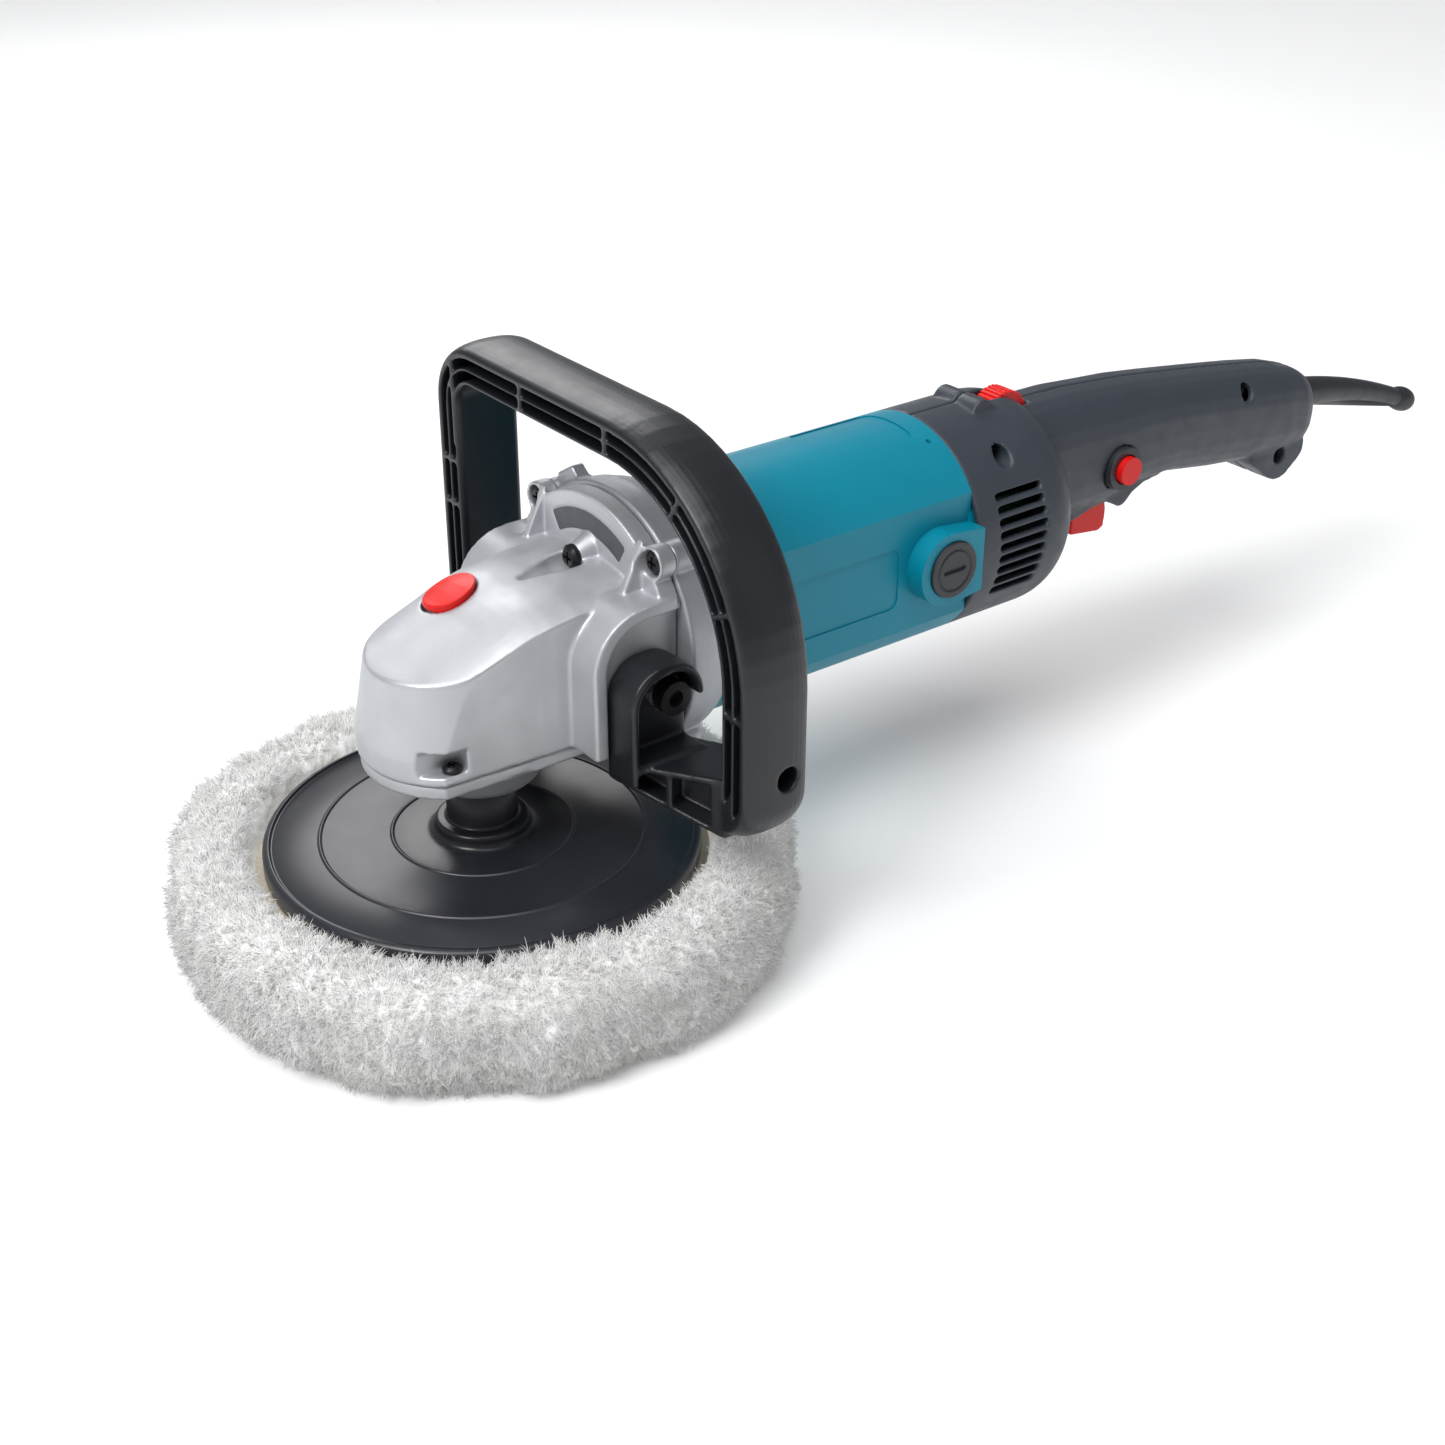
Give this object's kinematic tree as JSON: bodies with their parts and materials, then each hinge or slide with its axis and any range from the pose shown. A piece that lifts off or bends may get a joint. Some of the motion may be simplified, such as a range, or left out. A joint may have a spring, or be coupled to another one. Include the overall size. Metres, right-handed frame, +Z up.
{
  "type": "rotary polisher",
  "caption": "Hand-held rotary polisher: aluminium angle head with a lambswool pad, barrel motor, loop front handle and trigger grip.",
  "frame": {"origin": "middle of the wool pad's bottom face, on the spindle axis", "axes": "+Z up along the spindle, +X from the head towards the rear grip, -Y the side with the lock-on button"},
  "size_m": [0.65, 0.23, 0.192],
  "materials": {
    "wool": "fluffy lambswool",
    "cream_felt": "woven backing",
    "gloss_black": "glossy",
    "steel": "turned",
    "gear_steel": "hardened",
    "rubber": "matt",
    "cast_aluminium": "die cast, satin",
    "black_screw": "black oxide",
    "dark_inlay": "satin",
    "red_plastic": "satin",
    "black_plastic": "glass-filled nylon",
    "teal_plastic": "satin",
    "charcoal_plastic": "glass-filled nylon",
    "laminated_steel": "laminated",
    "copper": "enamelled copper",
    "brass": "stamped",
    "carbon": "sintered carbon",
    "green_board": "potted board",
    "film_capacitor": "film capacitor",
    "ivory_plastic": "moulded"
  },
  "bodies": {
    "housing": {"lower_bearing": "steel", "upper_bearing": "steel", "spindle_seal": "rubber", "bearing_retainer": "steel", "bearing_box": "cast_aluminium", "bearing_box_screws": "black_screw", "gear_case": "cast_aluminium", "gear_case_screws": "black_screw", "retainer_screw": "black_screw", "flange_band": "dark_inlay", "lock_spring": "steel", "gear_cover": "cast_aluminium", "loop_handle": "black_plastic", "loop_handle_bolts": "black_screw", "loop_handle_washers": "steel", "front_bearing": "steel", "baffle_ring": "black_plastic", "rear_bearing": "steel", "rear_bearing_sleeve": "rubber", "stator_core": "laminated_steel", "field_windings": "copper", "motor_housing": "teal_plastic", "brush_holders": "brass", "carbon_brushes": "carbon", "brush_springs": "steel", "brush_caps": "black_plastic", "handle_left": "charcoal_plastic", "handle_right": "charcoal_plastic", "handle_screws": "black_screw", "speed_module": "green_board", "trigger_spring": "steel", "switch_body": "black_plastic", "lock_on_collar": "black_plastic", "capacitor": "film_capacitor", "terminal_block": "ivory_plastic", "cord_clamp": "black_plastic", "cord_clamp_screws": "steel", "cord_guard": "rubber"},
    "spindle_body": {"spindle": "steel", "output_gear": "gear_steel", "gear_key": "steel", "gear_clip": "steel", "backing_plate": "gloss_black", "pad_backing": "cream_felt", "wool_pad": "wool"},
    "armature_body": {"armature_shaft": "steel", "armature_core": "laminated_steel", "armature_windings": "copper", "commutator": "copper", "fan": "black_plastic", "pinion": "gear_steel", "pinion_nut": "steel"},
    "spindle_lock": {"spindle_lock_button": "red_plastic", "lock_pin": "steel"},
    "trigger_body": {"trigger": "red_plastic"},
    "lock_on_body": {"lock_on_button": "red_plastic"},
    "dial_body": {"speed_dial": "red_plastic"}
  },
  "joints": [
    {"name": "spindle_spin", "type": "hinge", "parent": "housing", "child": "spindle_body", "pos_m": [0, 0, 0.06], "axis": [0, 0, 1], "continuous": true},
    {"name": "armature_spin", "type": "hinge", "parent": "housing", "child": "armature_body", "pos_m": [0.1, 0, 0.107], "axis": [1, 0, 0], "continuous": true},
    {"name": "spindle_lock_press", "type": "slide", "parent": "housing", "child": "spindle_lock", "axis": [0, 0, -1], "range_m": [0, 0.004], "stiffness_N_per_m": 800, "springref_m": -0.004, "deforming": ["lock_spring"]},
    {"name": "trigger_pull", "type": "slide", "parent": "housing", "child": "trigger_body", "axis": [0, 0, 1], "range_m": [0, 0.006], "stiffness_N_per_m": 900, "springref_m": -0.005, "deforming": ["trigger_spring"]},
    {"name": "lock_on_press", "type": "slide", "parent": "housing", "child": "lock_on_body", "axis": [0, 1, 0], "range_m": [0, 0.003], "stiffness_N_per_m": 600, "springref_m": -0.003},
    {"name": "speed_dial_turn", "type": "hinge", "parent": "housing", "child": "dial_body", "pos_m": [0.251, 0, 0.1413], "axis": [0, 1, 0], "range_deg": [0, 270]}
  ],
  "couplings": [
    {"joint": "armature_spin", "follows": "spindle_spin", "ratio": 4}
  ]
}
